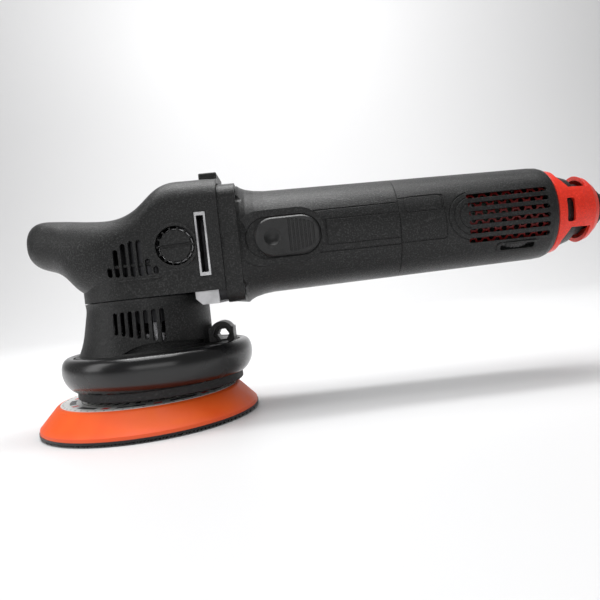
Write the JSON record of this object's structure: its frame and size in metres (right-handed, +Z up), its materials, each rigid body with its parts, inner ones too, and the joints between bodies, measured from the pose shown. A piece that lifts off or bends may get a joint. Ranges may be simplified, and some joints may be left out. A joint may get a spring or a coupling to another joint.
{
  "type": "dual action polisher",
  "caption": "Random orbital car polisher: right-angle bevel drive, eccentric crank, free-spinning hook-and-loop pad, slide switch and speed dial.",
  "frame": {"origin": "on the main spindle's axis in the plane of the pad's hook face, which is the floor", "axes": "+X from the spindle towards the rear handle, +Z up along the spindle, -Y on the slide switch side"},
  "size_m": [0.343, 0.125, 0.1376],
  "materials": {
    "cover_black": "satin",
    "motor_black": "satin",
    "shroud_black": "satin",
    "switch_black": "satin",
    "lip_grey": "matte",
    "bumper_black": "gloss",
    "gland_black": "matte",
    "cast_aluminium": "satin",
    "retainer_dark": "matte",
    "screen_red": "satin",
    "cap_red": "satin",
    "screw_steel": "satin",
    "bearing_steel": "polished",
    "spindle_steel": "satin",
    "gear_steel": "satin",
    "core_steel": "matte",
    "weight_iron": "matte",
    "copper": "satin",
    "brush_brass": "satin",
    "carbon": "matte",
    "board_green": "satin",
    "part_grey": "satin",
    "fan_black": "satin",
    "pad_orange": "matte",
    "hook_black": "matte",
    "label_white": "satin",
    "dial_dark": "satin"
  },
  "bodies": {
    "housing": {"head_cover": "cover_black", "neck_shroud": "shroud_black", "dust_lip": "lip_grey", "bumper_ring": "bumper_black", "gearbox_housing": "cast_aluminium", "bearing_retainer": "retainer_dark", "handle_hole_plugs": "cover_black", "motor_housing": "motor_black", "flange_screws": "screw_steel", "neck_screws": "screw_steel", "rear_housing_left": "motor_black", "rear_housing_right": "motor_black", "handle_screws": "screw_steel", "intake_screens": "screen_red", "end_cap": "cap_red", "end_plug": "shroud_black", "cord_gland": "gland_black", "switch_body": "part_grey", "dial_potentiometer": "part_grey", "circuit_board": "board_green", "stator_core": "core_steel", "field_coils": "copper", "brush_holders": "brush_brass", "carbon_brushes": "carbon", "brush_springs": "spindle_steel", "front_bearing_outer": "bearing_steel", "rear_bearing_outer": "bearing_steel", "lower_bearing_outer": "bearing_steel", "upper_bearing_outer": "bearing_steel", "ball_sets": "bearing_steel"},
    "armature": {"armature_shaft": "spindle_steel", "armature_core": "core_steel", "armature_windings": "copper", "commutator": "copper", "cooling_fan": "fan_black", "bevel_pinion": "gear_steel", "front_bearing_inner": "bearing_steel", "rear_bearing_inner": "bearing_steel"},
    "crank": {"main_spindle": "spindle_steel", "bevel_wheel": "gear_steel", "crank_block": "spindle_steel", "counterweight": "weight_iron", "counterweight_screws": "screw_steel", "lower_bearing_inner": "bearing_steel", "upper_bearing_inner": "bearing_steel", "pad_bearing_outers": "bearing_steel", "pad_bearing_balls": "bearing_steel"},
    "pad": {"pad_spindle": "spindle_steel", "pad_bearing_inners": "bearing_steel", "pad_hub": "spindle_steel", "backing_pad": "pad_orange", "hook_layer": "hook_black", "pad_label": "label_white", "pad_washer": "screw_steel", "pad_bolt": "screw_steel"},
    "switch_slider": {"switch_paddle": "switch_black", "switch_link": "part_grey"},
    "speed_dial_wheel": {"speed_dial": "dial_dark"}
  },
  "joints": [
    {"name": "armature_spin", "type": "hinge", "parent": "housing", "child": "armature", "pos_m": [0.08, 0, 0.0957], "axis": [1, 0, 0], "continuous": true},
    {"name": "spindle_spin", "type": "hinge", "parent": "housing", "child": "crank", "pos_m": [0, 0, 0.06], "axis": [0, 0, 1], "continuous": true},
    {"name": "pad_spin", "type": "hinge", "parent": "crank", "child": "pad", "pos_m": [-0.0075, 0, 0.03], "axis": [0, 0, 1], "continuous": true},
    {"name": "switch_slide", "type": "slide", "parent": "housing", "child": "switch_slider", "axis": [-1, 0, 0], "range_m": [0, 0.004]},
    {"name": "dial_turn", "type": "hinge", "parent": "housing", "child": "speed_dial_wheel", "pos_m": [0.2116, -0.0113, 0.08524], "axis": [0, 0.6794, -0.7337], "range_deg": [0, 270]}
  ],
  "couplings": [
    {"joint": "armature_spin", "follows": "spindle_spin", "ratio": 3.1667}
  ]
}
